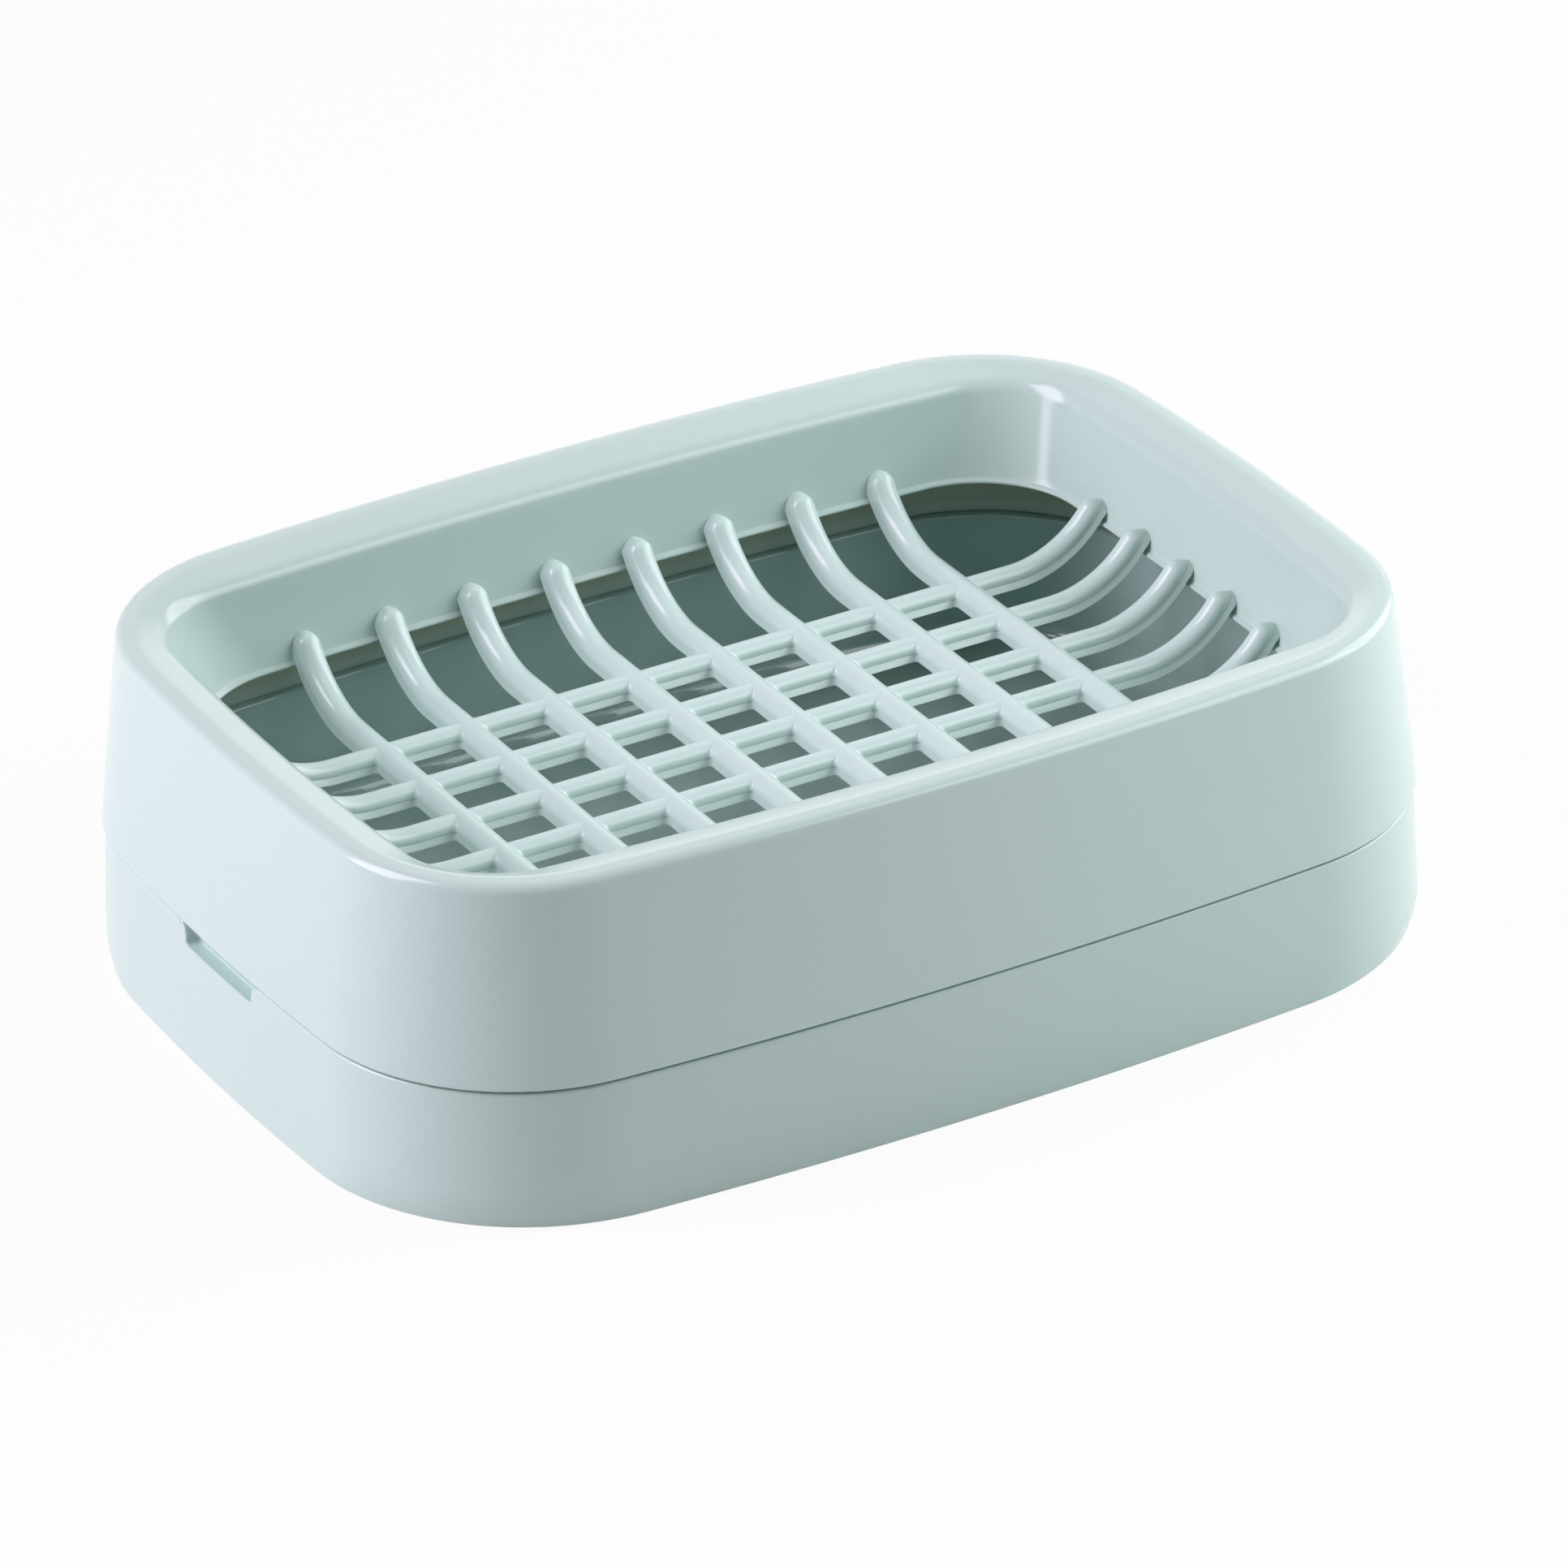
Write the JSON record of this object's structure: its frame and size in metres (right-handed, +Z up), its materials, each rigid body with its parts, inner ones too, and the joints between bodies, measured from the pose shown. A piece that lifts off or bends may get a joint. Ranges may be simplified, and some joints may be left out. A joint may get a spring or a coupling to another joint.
{
  "type": "draining soap holder",
  "caption": "Two-piece soap holder: a rounded tray with a curved-rib drain grille lifts off a shallow drip base.",
  "frame": {"origin": "middle of the holder on the plane that its foot ring stands on", "axes": "+X along the length, +Y to the side away from the picture's camera, +Z up"},
  "size_m": [0.1312, 0.0952, 0.0384],
  "materials": {
    "base_plastic": "moulded, satin gloss, pale grey-green",
    "tray_plastic": "moulded, satin gloss, pale grey-green"
  },
  "bodies": {
    "base": {"drip_base": "base_plastic"},
    "tray": {"soap_tray": "tray_plastic"}
  },
  "joints": [
    {"name": "tray_lift", "type": "slide", "parent": "base", "child": "tray", "axis": [0, 0, 1], "range_m": [0, 0.06]}
  ]
}
